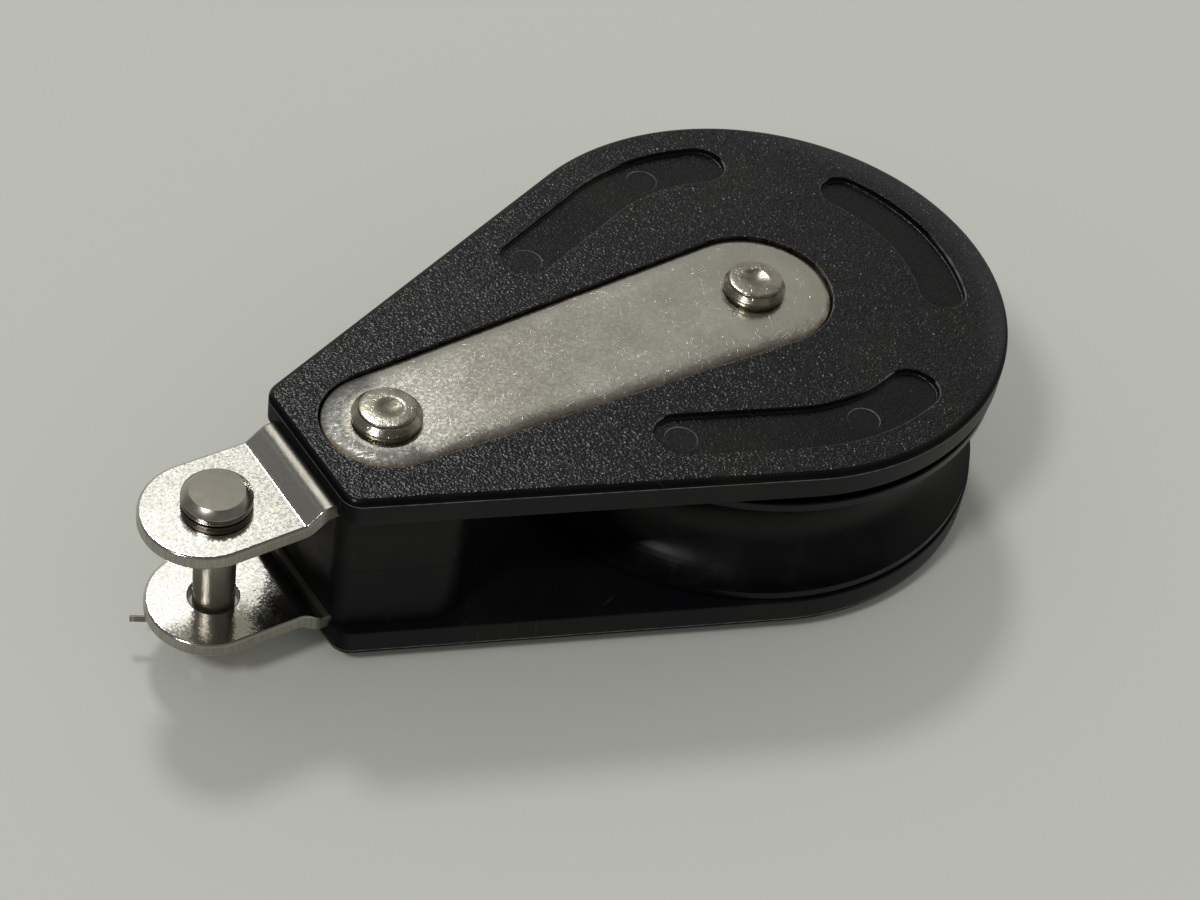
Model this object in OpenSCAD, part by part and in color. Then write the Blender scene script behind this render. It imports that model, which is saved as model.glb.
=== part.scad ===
// Sailing block: one sheave between two pear-shaped cheeks, with a fork, clevis pin and split pin at its head.
// Millimetres. +Z runs along the axle, and the origin is the axle's centre, halfway between the cheeks.
// +X points away from the fork. The lower pieces are mirror images of the upper ones.

/* [Block] */
// Thickness over both cheeks
block_t = 27.3; // [26:0.1:30]
// Distance from the axle rivet to the head rivet
rivet_pitch = 54.5; // [53:0.5:60]

/* [Cheeks] */
// Thickness of one cheek
cheek_t = 4; // [3.8:0.1:4.6]
// Radius of the round end, about the axle
cheek_r = 33.5; // [33.3:0.1:36]
// Angle between a straight side and the centreline
cheek_taper = 21.2; // [20:0.1:22]
// Distance from the head rivet to the narrow end
cheek_head = 11; // [10.5:0.1:12]
// Corner radius at the narrow end
cheek_corner_r = 2.8; // [2:0.1:4]
// Rounding of the outer edge
cheek_edge_r = 0.8; // [0.3:0.1:1]

/* [Pockets in the cheeks] */
// Depth of a pocket in the outer face
pocket_depth = 0.8; // [0.3:0.1:1.2]
// Width of a side pocket
pocket_w = 7; // [5:0.5:8]
// Radius of the pockets' centreline, about the axle
pocket_r = 25.3; // [24:0.1:27]
// Angle from +X to the start of a side pocket
pocket_start = 72; // [50:1:85]
// Length of a side pocket's straight part
pocket_straight = 15.4; // [8:0.2:18]
// Width of the tip pocket
tip_pocket_w = 6.2; // [4:0.2:8]
// Angle from +X to a round end of the tip pocket
tip_pocket_half = 26; // [10:1:32]
// Radius of an ejector mark in a side pocket
ejector_r = 2; // [1:0.1:2.4]
// Depth of an ejector mark
ejector_depth = 0.12; // [0.04:0.02:0.2]
// Angle from +X to the ejector mark in the curved part
ejector_angle = 91.6; // [86:0.2:100]

/* [Side plates] */
// Thickness of a plate
plate_t = 1.5; // [1:0.1:1.7]
// Depth of a plate's face below the cheek's outer face
plate_sink = 0.15; // [0.05:0.05:0.4]
// End radius around the axle rivet
plate_axle_r = 10.2; // [8:0.1:12]
// End radius around the head rivet
plate_head_r = 8; // [6:0.1:9]
// Gap between a plate and the side of its recess
plate_gap = 0.25; // [0.1:0.05:0.4]

/* [Fork] */
// Thickness of the strip
strip_t = 2; // [1.6:0.1:2.2]
// Width of the strip
strip_w = 16; // [14:0.5:16.5]
// Gap between the ears
jaw_w = 13.9; // [12.5:0.1:14.5]
// Distance from the head rivet to the clevis pin
clevis_pitch = 22.6; // [22.5:0.1:26]
// Distance from the clevis pin out to the centre of the upper ear's round end
upper_ear_out = 1.5; // [0:0.1:3]
// The same on the lower ear, which is shorter
lower_ear_out = 0.5; // [0:0.1:3]
// Slope of the joggle between an ear and its root
joggle_angle = 38; // [30:1:42]
// Inner radius of the bends
bend_r = 0.8; // [0.3:0.1:1.2]
// Length of flat root that stands out of the cheeks
root_out = 0.5; // [0.1:0.1:1]
// Length of root past the head rivet
root_tail = 4.7; // [4:0.1:5]
// Corner radius at the end of a root
root_corner_r = 1.5; // [0.5:0.1:3]
// Depth of a root's recess in a cheek
root_recess = 1.1; // [0.6:0.1:1.4]
// Gap between a root and the sides of its recess
root_gap = 0.1; // [0.05:0.05:0.3]

/* [Head block] */
// Inset of a side from the cheek's side
head_inset = 1.5; // [0.5:0.1:3]
// Inset of the front from the cheek's narrow end
head_front_inset = 0.2; // [0:0.1:1]
// Distance from the head rivet to the inner end
head_tail = 6.4; // [5.3:0.1:9]
// Corner radius at the front
head_front_r = 2.5; // [1:0.1:4]
// Corner radius at the inner end
head_inner_r = 4.5; // [1:0.1:6]
// Outer radius of the tube inside it
head_tube_r = 4; // [3.5:0.1:4.5]

/* [Sheave] */
// Inset of the rims from the cheeks' round end
rim_inset = 0.3; // [0.1:0.1:2]
// Thickness
sheave_t = 17.4; // [16:0.1:18]
// Thickness of a rim at its edge
rim_t = 1.2; // [0.8:0.1:2]
// Chamfer on a rim's outer edge
rim_chamfer = 0.25; // [0.1:0.05:0.4]
// Depth of the rope groove below the rims
groove_depth = 6.2; // [4:0.1:7.5]
// Depth of the relief in a side face
relief_depth = 1; // [0.5:0.1:2]
// Inner radius of the relief
relief_inner_r = 11; // [9.5:0.5:14]
// Outer radius of the relief
relief_outer_r = 24; // [18:0.5:24]

/* [Axle] */
// Radius of a rivet's shank
shank_r = 3; // [2.5:0.1:3.2]
// Radial clearance of the turning and riveted fits
fit_gap = 0.05; // [0.02:0.01:0.1]
// Outer radius of the axle tube
axle_tube_r = 5; // [4.5:0.1:5.5]
// Outer radius of the sheave's bush
bush_r = 6.5; // [6:0.1:8]
// Outer radius of a thrust washer
washer_r = 9; // [8.2:0.1:10]
// Thickness of a thrust washer
washer_t = 0.4; // [0.2:0.1:0.6]

/* [Rivet heads] */
// Flange radius on the axle rivet
axle_flange_r = 4.05; // [3.8:0.05:5]
// Flange radius on the head rivet
head_flange_r = 4.35; // [3.8:0.05:5]
// Thickness of the flange at its edge
flange_t = 0.6; // [0.4:0.1:0.8]
// Height of the undercut below the flange
undercut_h = 0.4; // [0.1:0.05:0.5]
// Depth of the undercut from the flange's edge
undercut_in = 0.35; // [0.1:0.05:0.5]
// Radius of the raised disc
disc_r = 3.5; // [3:0.1:3.7]
// Height of the disc's side
disc_t = 0.45; // [0.1:0.05:0.6]
// Height of the whole head above its plate
rivet_head_h = 2.05; // [1.8:0.05:2.4]
// Rise of the disc's dome
dome_rise = 0.1; // [0.05:0.05:0.2]
// Radius of the dimple in the disc
dimple_r = 1.75; // [1:0.05:2.5]
// Depth of the dimple
dimple_depth = 0.25; // [0.1:0.05:0.4]

/* [Clevis pin] */
// Radius of the pin
pin_r = 2.6; // [2.4:0.1:3]
// Radial clearance in the ears
pin_gap = 0.5; // [0.1:0.05:0.6]
// Radius of the head
pin_head_r = 4.3; // [4.1:0.1:5]
// Height of the head
pin_head_h = 2.5; // [2.3:0.1:4]
// Radius of the head's flat top
pin_top_r = 3.25; // [2.6:0.05:3.9]
// Height of the head's bevel
pin_bevel_h = 0.85; // [0.4:0.05:0.85]
// Depth of a turned line around the head
line_depth = 0.12; // [0.05:0.01:0.2]
// Width of a turned line
line_w = 0.22; // [0.1:0.02:0.3]
// Height of the turned lines above the ear
line_heights = [0.8, 1.25]; // [0.1:0.05:1.4]
// Distance from the lower ear to the split pin's centre
split_drop = 2.3; // [2.3:0.1:2.6]
// Distance from the split pin's centre to the pin's end
pin_tail = 3; // [2.4:0.1:3.4]
// Chamfer at the pin's end
pin_chamfer = 0.8; // [0.3:0.1:1]

/* [Split pin] */
// Radius of the two closed legs
split_r = 0.5; // [0.4:0.05:0.5]
// Radial clearance of the legs in the clevis pin
split_gap = 0.1; // [0.05:0.01:0.15]
// Direction of the legs from +X
split_angle = 160; // [0:1:360]
// Inner radius of the eye
eye_in_r = 0.7; // [0.5:0.05:1]
// Gap between the eye and the clevis pin
eye_gap = 0.4; // [0.1:0.1:1]
// Reach of the long leg from the clevis pin's axis
long_leg = 10.2; // [8.5:0.1:10.2]
// Reach of the short leg from the clevis pin's axis
short_leg = 8; // [5:0.1:8.5]
// Angle at which each leg is bent out
splay = 8; // [2:1:12]

/* [Hidden] */
$fn = 96;
// A cutting tool runs this far past the face that it cuts
lap = 1;
// Steps in an arc of a polygon
arc_steps = 12;
// Steps in the rounding of a cheek's edge
edge_steps = 5;
// Depth of the step where a straight stretch stops short of a circle
seam_step = 0.004;
cheek_out_z = block_t / 2;
cheek_in_z = cheek_out_z - cheek_t;
plate_out_z = cheek_out_z - plate_sink;
plate_in_z = plate_out_z - plate_t;
ear_out_z = jaw_w / 2 + strip_t;
root_out_z = cheek_in_z + root_recess;
root_in_z = root_out_z - strip_t;
cheek_len = rivet_pitch + cheek_head;
clevis_x = -rivet_pitch - clevis_pitch;
root_x = -cheek_len - root_out;
root_end_x = root_tail - rivet_pitch;
// A straight side's outward direction, on the +Y side
side_dir = [-sin(cheek_taper), cos(cheek_taper)];
// The joggle: two opposite bends with a straight ramp between them
joggle_h = root_out_z - ear_out_z;
bends_h = (2 * bend_r + strip_t) * (1 - cos(joggle_angle));
ramp_len = (joggle_h - bends_h) / sin(joggle_angle);
joggle_run = (2 * bend_r + strip_t) * sin(joggle_angle) + ramp_len * cos(joggle_angle);
joggle_x = root_x - joggle_run;
// The sheave lies on the lower washer, so it sits below the middle
sheave_low_z = -cheek_in_z + washer_t;
sheave_r = cheek_r - rim_inset;
groove_bottom_r = sheave_r - groove_depth;
groove_r = bow_r(sheave_t / 2 - rim_t, groove_depth);
split_z = -ear_out_z - split_drop;
pin_end_z = split_z - pin_tail;
// The eye's centre and the bend of the legs, from the clevis pin's axis
eye_x = -(pin_r + eye_gap + eye_in_r + split_r);
splay_x = pin_r + eye_gap;

plastic = [0.07, 0.07, 0.075];
acetal = [0.05, 0.05, 0.055];
steel = [0.72, 0.71, 0.69];
bronze = [0.62, 0.47, 0.28];
fibre = [0.35, 0.33, 0.3];

// Y of the centre of a corner of radius r at x, tangent to a side moved inwards by inset
function corner_y(x, r, inset) = (cheek_r - inset - r - side_dir[0] * x) / side_dir[1];

// Radius of the circle through a chord of half width w at height h above or below its end
function bow_r(w, h) = (w * w + h * h) / (2 * h);

// A point mirrored across the centreline
function flip_y(p) = [p[0], -p[1]];

// A straight stretch stops this far short of where it would touch a circle of radius r
function seam(r) = sqrt(2 * r * seam_step);

// Two circles on the centreline joined by their tangents: one on the axle, one on the head rivet
module strap_2d(axle_end_r, head_end_r) {
    s = (axle_end_r - head_end_r) / rivet_pitch;
    n = [-s, sqrt(1 - s * s)];
    head = [-rivet_pitch, 0];
    start = axle_end_r * n + seam(axle_end_r) * [-n[1], n[0]];
    end = head + head_end_r * n - seam(head_end_r) * [-n[1], n[0]];
    circle(r = axle_end_r);
    translate(head) circle(r = head_end_r);
    polygon([start, end, flip_y(end), flip_y(start)]);
}

// Points on a circle about c from angle a0 to a1
function arc(c, r, a0, a1, steps = arc_steps) = [for (i = [0:steps]) let (a = a0 + (a1 - a0) * i / steps)
    c + r * [cos(a), sin(a)]];

// The same points without the two ends
function open_arc(c, r, a0, a1) = let (p = arc(c, r, a0, a1)) [for (i = [1:arc_steps - 1]) p[i]];

// Outline between x0 and x1 that follows the cheeks' sides, with rounded corners
module tapered_2d(x0, x1, r0, r1, inset) {
    c0 = [x0 + r0, corner_y(x0 + r0, r0, inset)];
    c1 = [x1 - r1, corner_y(x1 - r1, r1, inset)];
    upper = concat(arc(c0, r0, 180, 90 + cheek_taper), arc(c1, r1, 90 + cheek_taper, 0));
    polygon([for (p = upper) p, for (i = [len(upper) - 1:-1:0]) flip_y(upper[i])]);
}

// The flat root of an arm from x0 inwards, or its recess when it is grown by gap
module root_2d(gap, x0) {
    half = strip_w / 2 + gap;
    end = root_end_x + gap;
    r = root_corner_r + gap;
    translate([x0, -half]) square([end - r - x0, 2 * half]);
    translate([x0, r - half]) square([end - x0, 2 * (half - r)]);
    for (y = [r - half, half - r]) translate([end - r, y]) circle(r = r);
}

// Cross-section of a cheek's edge, outwards along +X, with the outer edge rounded
module edge_2d(w) {
    rounding = arc([w - cheek_edge_r, cheek_t - cheek_edge_r], cheek_edge_r, 0, 90, edge_steps);
    polygon(concat([[0, 0], [w, 0]], rounding, [[0, cheek_t]]));
}

// A cheek's solid before its cuts, with its inner face at z = 0
module cheek_blank() {
    r = cheek_corner_r;
    corner = [r - cheek_len, corner_y(r - cheek_len, r, 0)];
    side_len = -(corner * [side_dir[1], -side_dir[0]]);
    fill = [(cheek_r - r / 2) * side_dir, corner + r / 2 * side_dir, corner - [r / 2, 0]];
    rotate_extrude() edge_2d(cheek_r);
    for (side = [0, 1]) mirror([0, side, 0]) translate(corner) {
        rotate_extrude() edge_2d(r);
        rotate(90 + cheek_taper) edge_bar(r, seam(r), side_len - seam(cheek_r));
    }
    translate(flip_y(corner)) rotate(180) edge_bar(r, seam(r), 2 * corner[1] - seam(r));
    linear_extrude(cheek_t)
        polygon(concat([[0, 0]], fill, [for (i = [len(fill) - 1:-1:0]) flip_y(fill[i])]));
}

// A straight stretch of a cheek's edge that faces +X, from y = -from to y = -to
module edge_bar(w, from, to) {
    translate([0, -from, 0]) rotate([90, 0, 0]) linear_extrude(to - from) edge_2d(w);
}

// A pocket that follows a circle about the axle from angle a0 to a1, then runs straight for a length
module pocket_2d(w, a0, a1, straight) {
    half = w / 2;
    start = pocket_r * [cos(a0), sin(a0)];
    end = pocket_r * [cos(a1), sin(a1)] + straight * [-sin(a1), cos(a1)];
    outer = arc([0, 0], pocket_r + half, a0, a1);
    inner = arc([0, 0], pocket_r - half, a1, a0);
    ends = straight > 0 ? arc(end, half, a1, a1 + 180) : open_arc(end, half, a1, a1 + 180);
    polygon(concat(outer, ends, inner, open_arc(start, half, a0 + 180, a0 + 360)));
}

module ejector_marks_2d() {
    rotate(ejector_angle) translate([pocket_r, 0]) circle(r = ejector_r);
    rotate(90 + cheek_taper) translate([pocket_r, pocket_straight]) circle(r = ejector_r);
}

// The upper cheek, with its plate's recess, pockets, root recess and rivet holes
module cheek() {
    floor_z = cheek_out_z - pocket_depth;
    difference() {
        translate([0, 0, cheek_in_z]) cheek_blank();
        translate([0, 0, plate_in_z]) linear_extrude(plate_t + lap)
            strap_2d(plate_axle_r + plate_gap, plate_head_r + plate_gap);
        translate([0, 0, floor_z]) linear_extrude(pocket_depth + lap) {
            pocket_2d(tip_pocket_w, -tip_pocket_half, tip_pocket_half, 0);
            for (side = [0, 1]) mirror([0, side])
                pocket_2d(pocket_w, pocket_start, 90 + cheek_taper, pocket_straight);
        }
        for (side = [0, 1]) mirror([0, side, 0]) translate([0, 0, floor_z - ejector_depth])
            linear_extrude(lap) ejector_marks_2d();
        translate([0, 0, cheek_in_z - lap]) linear_extrude(lap + root_recess) root_2d(root_gap, root_x);
        rivet_holes(shank_r + fit_gap);
    }
}

module rivet_holes(r) {
    for (x = [0, -rivet_pitch]) translate([x, 0, 0]) cylinder(r = r, h = block_t);
}

module side_plate() {
    difference() {
        translate([0, 0, plate_in_z]) linear_extrude(plate_t) strap_2d(plate_axle_r, plate_head_r);
        rivet_holes(shank_r + fit_gap);
    }
}

// Side view of an upper arm that ends at tip_x: ear, bend up, ramp, bend back and root
module arm_profile_2d(tip_x) {
    a = joggle_angle;
    inner = bend_r;
    outer = bend_r + strip_t;
    first = [joggle_x, ear_out_z + inner];
    second = [root_x, root_out_z - outer];
    upper = concat([[tip_x, ear_out_z]], arc(first, inner, -90, a - 90), arc(second, outer, 90 + a, 90),
        [[root_end_x, root_out_z]]);
    lower = concat([[root_end_x, root_in_z]], arc(second, inner, 90, 90 + a), arc(first, outer, a - 90, -90),
        [[tip_x, ear_out_z - strip_t]]);
    polygon(concat(upper, lower));
}

// An upper arm, with its ear's round end this far out of the clevis pin
module fork_arm(ear_out) {
    ear_x = clevis_x - ear_out;
    difference() {
        intersection() {
            rotate([90, 0, 0]) linear_extrude(strip_w + lap, center = true)
                arm_profile_2d(ear_x - strip_w / 2);
            linear_extrude(block_t) {
                root_2d(0, ear_x);
                translate([ear_x, 0]) circle(r = strip_w / 2);
            }
        }
        rivet_holes(shank_r + fit_gap);
        translate([clevis_x, 0, 0]) cylinder(r = pin_r + pin_gap, h = block_t);
    }
}

module head_block() {
    color(plastic) difference() {
        translate([0, 0, -cheek_in_z]) linear_extrude(2 * cheek_in_z)
            tapered_2d(head_front_inset - cheek_len, head_tail - rivet_pitch, head_front_r, head_inner_r,
                head_inset);
        for (side = [0, 1]) mirror([0, 0, side]) translate([0, 0, root_in_z])
            linear_extrude(strip_t) root_2d(root_gap, root_x);
        translate([-rivet_pitch, 0, -block_t / 2]) cylinder(r = head_tube_r + fit_gap, h = block_t);
    }
}

// A tube around the Z axis between two heights
module tube(outer_r, inner_r, z0, z1) {
    translate([0, 0, z0]) difference() {
        cylinder(r = outer_r, h = z1 - z0);
        translate([0, 0, -lap]) cylinder(r = inner_r, h = z1 - z0 + 2 * lap);
    }
}

module sheave() {
    c = rim_chamfer;
    color(acetal) translate([0, 0, sheave_low_z]) rotate_extrude() difference() {
        polygon([[bush_r, 0], [sheave_r - c, 0], [sheave_r, c], [sheave_r, sheave_t - c],
            [sheave_r - c, sheave_t], [bush_r, sheave_t]]);
        translate([groove_bottom_r + groove_r, sheave_t / 2]) circle(r = groove_r);
        for (z = [-lap, sheave_t - relief_depth]) translate([relief_inner_r, z])
            square([relief_outer_r - relief_inner_r, relief_depth + lap]);
    }
}

// Half section of a rivet's head, with its seat at height 0
module rivet_head_2d(flange_r) {
    dome_r = bow_r(disc_r, dome_rise);
    pit_r = bow_r(dimple_r, dimple_depth);
    bevel_z = undercut_h + flange_t;
    rim_z = rivet_head_h - dome_rise;
    difference() {
        union() {
            square([flange_r - undercut_in, bevel_z]);
            polygon([[0, undercut_h], [flange_r, undercut_h], [flange_r, bevel_z],
                [disc_r, rim_z - disc_t], [disc_r, rim_z], [0, rim_z]]);
            intersection() {
                translate([0, rivet_head_h - dome_r]) circle(r = dome_r);
                square([disc_r, rivet_head_h + lap]);
            }
        }
        translate([0, rivet_head_h - dimple_depth + pit_r]) circle(r = pit_r);
        translate([-2 * dome_r, 0]) square([2 * dome_r, rivet_head_h]);
    }
}

module rivet(flange_r) {
    color(steel) {
        cylinder(r = shank_r, h = 2 * plate_out_z, center = true);
        for (side = [0, 1]) mirror([0, 0, side]) translate([0, 0, plate_out_z])
            rotate_extrude() rivet_head_2d(flange_r);
    }
}

module clevis_pin() {
    top_z = ear_out_z + pin_head_h;
    color(steel) translate([clevis_x, 0, 0]) difference() {
        rotate_extrude() difference() {
            polygon([[0, pin_end_z], [pin_r - pin_chamfer, pin_end_z], [pin_r, pin_end_z + pin_chamfer],
                [pin_r, ear_out_z], [pin_head_r, ear_out_z], [pin_head_r, top_z - pin_bevel_h],
                [pin_top_r, top_z], [0, top_z]]);
            for (h = line_heights) translate([pin_head_r - line_depth, ear_out_z + h])
                square([lap, line_w]);
        }
        translate([0, 0, split_z]) rotate(split_angle) rotate([0, 90, 0])
            cylinder(r = split_r + split_gap, h = 2 * pin_r + 2 * lap, center = true);
    }
}

// One leg's half-round section, on the side of +X
module leg_2d() {
    intersection() {
        circle(r = split_r);
        translate([0, -split_r]) square([split_r, 2 * split_r]);
    }
}

// The bent end of a leg that lies on the +Y side of the pin's own axis
module bent_leg(reach) {
    translate([splay_x - split_r / 2, 0, 0]) rotate(splay) rotate([90, 0, 90])
        linear_extrude(reach - splay_x + split_r / 2) leg_2d();
}

module split_pin() {
    color(steel) translate([clevis_x, 0, split_z]) rotate(split_angle) {
        translate([eye_x, 0, 0]) rotate_extrude() translate([eye_in_r, 0]) leg_2d();
        translate([eye_x + eye_in_r + split_r / 2, 0, 0]) rotate([0, 90, 0])
            cylinder(r = split_r, h = splay_x - eye_x - eye_in_r - split_r / 2);
        bent_leg(short_leg);
        mirror([0, 1, 0]) bent_leg(long_leg);
    }
}

color(plastic) cheek();  // upper_cheek
color(plastic) mirror([0, 0, 1]) cheek();  // lower_cheek
color(steel) side_plate();  // upper_side_plate
color(steel) mirror([0, 0, 1]) side_plate();  // lower_side_plate
head_block();
color(steel) fork_arm(upper_ear_out);  // upper_fork_arm
color(steel) mirror([0, 0, 1]) fork_arm(lower_ear_out);  // lower_fork_arm
sheave();
color(bronze) tube(bush_r, axle_tube_r + fit_gap, sheave_low_z, sheave_low_z + sheave_t);  // sheave_bush
color(steel) tube(axle_tube_r, shank_r + fit_gap, -cheek_in_z, cheek_in_z);  // axle_tube
color(fibre) tube(washer_r, axle_tube_r + fit_gap, sheave_low_z + sheave_t, sheave_low_z + sheave_t + washer_t);  // upper_thrust_washer
color(fibre) tube(washer_r, axle_tube_r + fit_gap, -cheek_in_z, sheave_low_z);  // lower_thrust_washer
rivet(axle_flange_r);  // axle_rivet
translate([-rivet_pitch, 0, 0]) rivet(head_flange_r);  // head_rivet
color(steel) translate([-rivet_pitch, 0, 0]) tube(head_tube_r, shank_r + fit_gap, -root_in_z, root_in_z);  // head_tube
clevis_pin();
split_pin();
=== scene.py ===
# Dresses the sailing block. Metres, +Z along the axle, +X away from the fork.
import bpy
import math
from functools import partial
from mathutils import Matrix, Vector


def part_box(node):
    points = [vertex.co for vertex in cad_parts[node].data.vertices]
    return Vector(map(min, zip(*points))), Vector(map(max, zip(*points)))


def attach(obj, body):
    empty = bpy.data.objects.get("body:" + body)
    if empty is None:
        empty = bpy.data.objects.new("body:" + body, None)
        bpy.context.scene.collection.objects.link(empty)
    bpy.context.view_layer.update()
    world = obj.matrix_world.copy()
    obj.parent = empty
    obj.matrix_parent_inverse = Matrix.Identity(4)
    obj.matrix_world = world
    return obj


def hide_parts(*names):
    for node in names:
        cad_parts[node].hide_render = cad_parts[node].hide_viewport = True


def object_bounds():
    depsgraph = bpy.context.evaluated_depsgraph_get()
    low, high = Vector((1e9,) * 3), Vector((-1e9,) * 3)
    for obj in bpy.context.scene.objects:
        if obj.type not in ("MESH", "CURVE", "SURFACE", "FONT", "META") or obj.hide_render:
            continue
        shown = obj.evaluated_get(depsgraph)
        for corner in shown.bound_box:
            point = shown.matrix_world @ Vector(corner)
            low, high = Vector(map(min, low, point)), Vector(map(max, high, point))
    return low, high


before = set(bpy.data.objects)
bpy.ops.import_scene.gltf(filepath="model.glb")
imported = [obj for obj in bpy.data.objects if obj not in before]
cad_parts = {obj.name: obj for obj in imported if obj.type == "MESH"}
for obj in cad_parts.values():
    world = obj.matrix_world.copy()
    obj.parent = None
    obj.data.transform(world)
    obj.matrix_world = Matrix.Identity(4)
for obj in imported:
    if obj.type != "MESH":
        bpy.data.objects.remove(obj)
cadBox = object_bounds()
mm = 0.001
touch = 0.01 * mm  # slack where points are picked by their place
up = Vector((0, 0, 1))


# Camera first, fitted to the photograph
camera = {
    "place": (-0.18361, -0.19527, 0.24281),
    "turn": (45.106, -7.051, -32.846),  # degrees
    "lens": 81.63,
    "sensor": 36,
}
bpy.ops.object.camera_add(location=camera["place"], rotation=[math.radians(a) for a in camera["turn"]])
eye = bpy.context.object
eye.name = "viewpoint"
eye.data.lens = camera["lens"]
eye.data.sensor_width = camera["sensor"]
eye.data.clip_start = 0.01
bpy.context.scene.camera = eye
print("camera set")


# Small tools for modelling by hand
def focus(piece, mode="OBJECT"):
    if bpy.context.object and bpy.context.object.mode != "OBJECT":
        bpy.ops.object.mode_set(mode="OBJECT")
    bpy.ops.object.select_all(action="DESELECT")
    piece.select_set(True)
    bpy.context.view_layer.objects.active = piece
    bpy.ops.object.mode_set(mode=mode)


def pull(step):
    bpy.ops.mesh.extrude_region_move(TRANSFORM_OT_translate={"value": step})


def drawLine(name, points, closed=True):
    # One vertex, pulled along the points; a closed line is filled
    if bpy.context.object and bpy.context.object.mode != "OBJECT":
        bpy.ops.object.mode_set(mode="OBJECT")
    bpy.ops.object.select_all(action="DESELECT")
    bpy.ops.mesh.primitive_plane_add(size=mm, location=(0, 0, 0))
    piece = bpy.context.object
    piece.name = name
    bpy.ops.object.mode_set(mode="EDIT")
    bpy.ops.mesh.select_mode(type="VERT")
    bpy.ops.mesh.select_all(action="SELECT")
    bpy.ops.mesh.merge(type="CENTER")
    bpy.ops.transform.translate(value=points[0])
    for here, there in zip(points, points[1:]):
        pull(Vector(there) - Vector(here))
    if closed:
        bpy.ops.mesh.select_all(action="SELECT")
        bpy.ops.mesh.edge_face_add()
    return piece


def tidyNormals(piece):
    focus(piece, "EDIT")
    bpy.ops.mesh.select_all(action="SELECT")
    bpy.ops.mesh.remove_doubles(threshold=0.002 * mm)
    bpy.ops.mesh.normals_make_consistent(inside=False)
    bpy.ops.object.mode_set(mode="OBJECT")


def slab(name, points, thickness, direction=up):
    piece = drawLine(name, points)
    pull(direction * thickness)
    tidyNormals(piece)
    return piece


def turned(name, profile, centre=(0, 0), steps=128, closed=False):
    # Profile of (radius, height) pairs, spun about an upright axis
    points = [(centre[0] + r, centre[1], z) for r, z in profile]
    if closed:
        points = points + points[:1]
    piece = drawLine(name, points, closed=False)
    bpy.ops.mesh.select_all(action="SELECT")
    bpy.ops.mesh.spin(steps=steps, angle=math.tau, center=(centre[0], centre[1], 0), axis=up)
    tidyNormals(piece)
    return piece


def useModifier(piece, kind, **settings):
    focus(piece)
    modifier = piece.modifiers.new("step", kind)
    for key, value in settings.items():
        setattr(modifier, key, value)
    bpy.ops.object.modifier_apply(modifier=modifier.name)


def cut(piece, tool, operation="DIFFERENCE"):
    useModifier(piece, "BOOLEAN", operation=operation, solver="EXACT", object=tool)
    bpy.data.objects.remove(tool)


def drill(piece, radius, low, high, x, steps=48):
    # An upright hole on the centreline
    cut(piece, turned("drill", [(0, low), (radius, low), (radius, high), (0, high)], (x, 0), steps))


def pickSharp(piece, where, sharpness=35):
    # Selects the sharp edges whose two ends pass a test of place
    focus(piece, "EDIT")
    bpy.ops.mesh.select_mode(type="EDGE")
    bpy.ops.mesh.select_all(action="DESELECT")
    bpy.ops.mesh.edges_select_sharp(sharpness=math.radians(sharpness))
    bpy.ops.object.mode_set(mode="OBJECT")
    mesh = piece.data
    chosen = [e.index for e in mesh.edges if e.select and all(where(mesh.vertices[v].co) for v in e.vertices)]
    mesh.vertices.foreach_set("select", [False] * len(mesh.vertices))
    mesh.edges.foreach_set("select", [False] * len(mesh.edges))
    mesh.polygons.foreach_set("select", [False] * len(mesh.polygons))
    for index in chosen:
        mesh.edges[index].select = True
    bpy.ops.object.mode_set(mode="EDIT")


def pickVertices(piece, where):
    focus(piece, "EDIT")
    bpy.ops.mesh.select_mode(type="VERT")
    bpy.ops.mesh.select_all(action="DESELECT")
    bpy.ops.object.mode_set(mode="OBJECT")
    for vertex in piece.data.vertices:
        vertex.select = where(vertex.co)
    bpy.ops.object.mode_set(mode="EDIT")


def roundEdges(piece, width, segments=3, where=lambda spot: True, sharpness=35, clamped=True):
    pickSharp(piece, where, sharpness)
    bpy.ops.mesh.bevel(offset=width, offset_type="OFFSET", segments=segments, profile=0.5, affect="EDGES",
                       clamp_overlap=clamped)
    bpy.ops.object.mode_set(mode="OBJECT")


def smooth(piece, angle=40):
    focus(piece)
    bpy.ops.object.shade_smooth_by_angle(angle=math.radians(angle))
    useModifier(piece, "WEIGHTED_NORMAL", mode="FACE_AREA", weight=50, keep_sharp=True)


def flipped(piece):
    # Mirrored through the middle plane
    focus(piece, "EDIT")
    bpy.ops.mesh.select_all(action="SELECT")
    bpy.ops.transform.resize(value=(1, 1, -1), center_override=(0, 0, 0))
    bpy.ops.mesh.normals_make_consistent(inside=False)
    bpy.ops.object.mode_set(mode="OBJECT")
    return piece


def mirrored(piece, name):
    # A copy of the piece below the middle plane
    focus(piece)
    bpy.ops.object.duplicate()
    bpy.context.object.name = name
    return flipped(bpy.context.object)


def arcPoints(centre, radius, start, end, steps):
    turns = [math.radians(start + (end - start) * i / steps) for i in range(steps + 1)]
    return [(centre[0] + radius * math.cos(a), centre[1] + radius * math.sin(a)) for a in turns]


def flat(points, z):
    return [(x, y, z) for x, y in points]


def upright(points, y):
    return [(x, y, z) for x, z in points]


def bothSides(points):
    # A half outline above the centreline, closed by its mirror image
    return points + [(x, -y) for x, y in reversed(points)]


def finishPiece(piece, node, material, body="block"):
    piece.data.materials.clear()
    piece.data.materials.append(material)
    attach(piece, body)
    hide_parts(node)


# Small tools for materials
def linear(hexCode):
    parts = [int(hexCode[i:i + 2], 16) / 255 for i in (1, 3, 5)]
    return [c / 12.92 if c <= 0.04045 else ((c + 0.055) / 1.055) ** 2.4 for c in parts] + [1]


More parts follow.
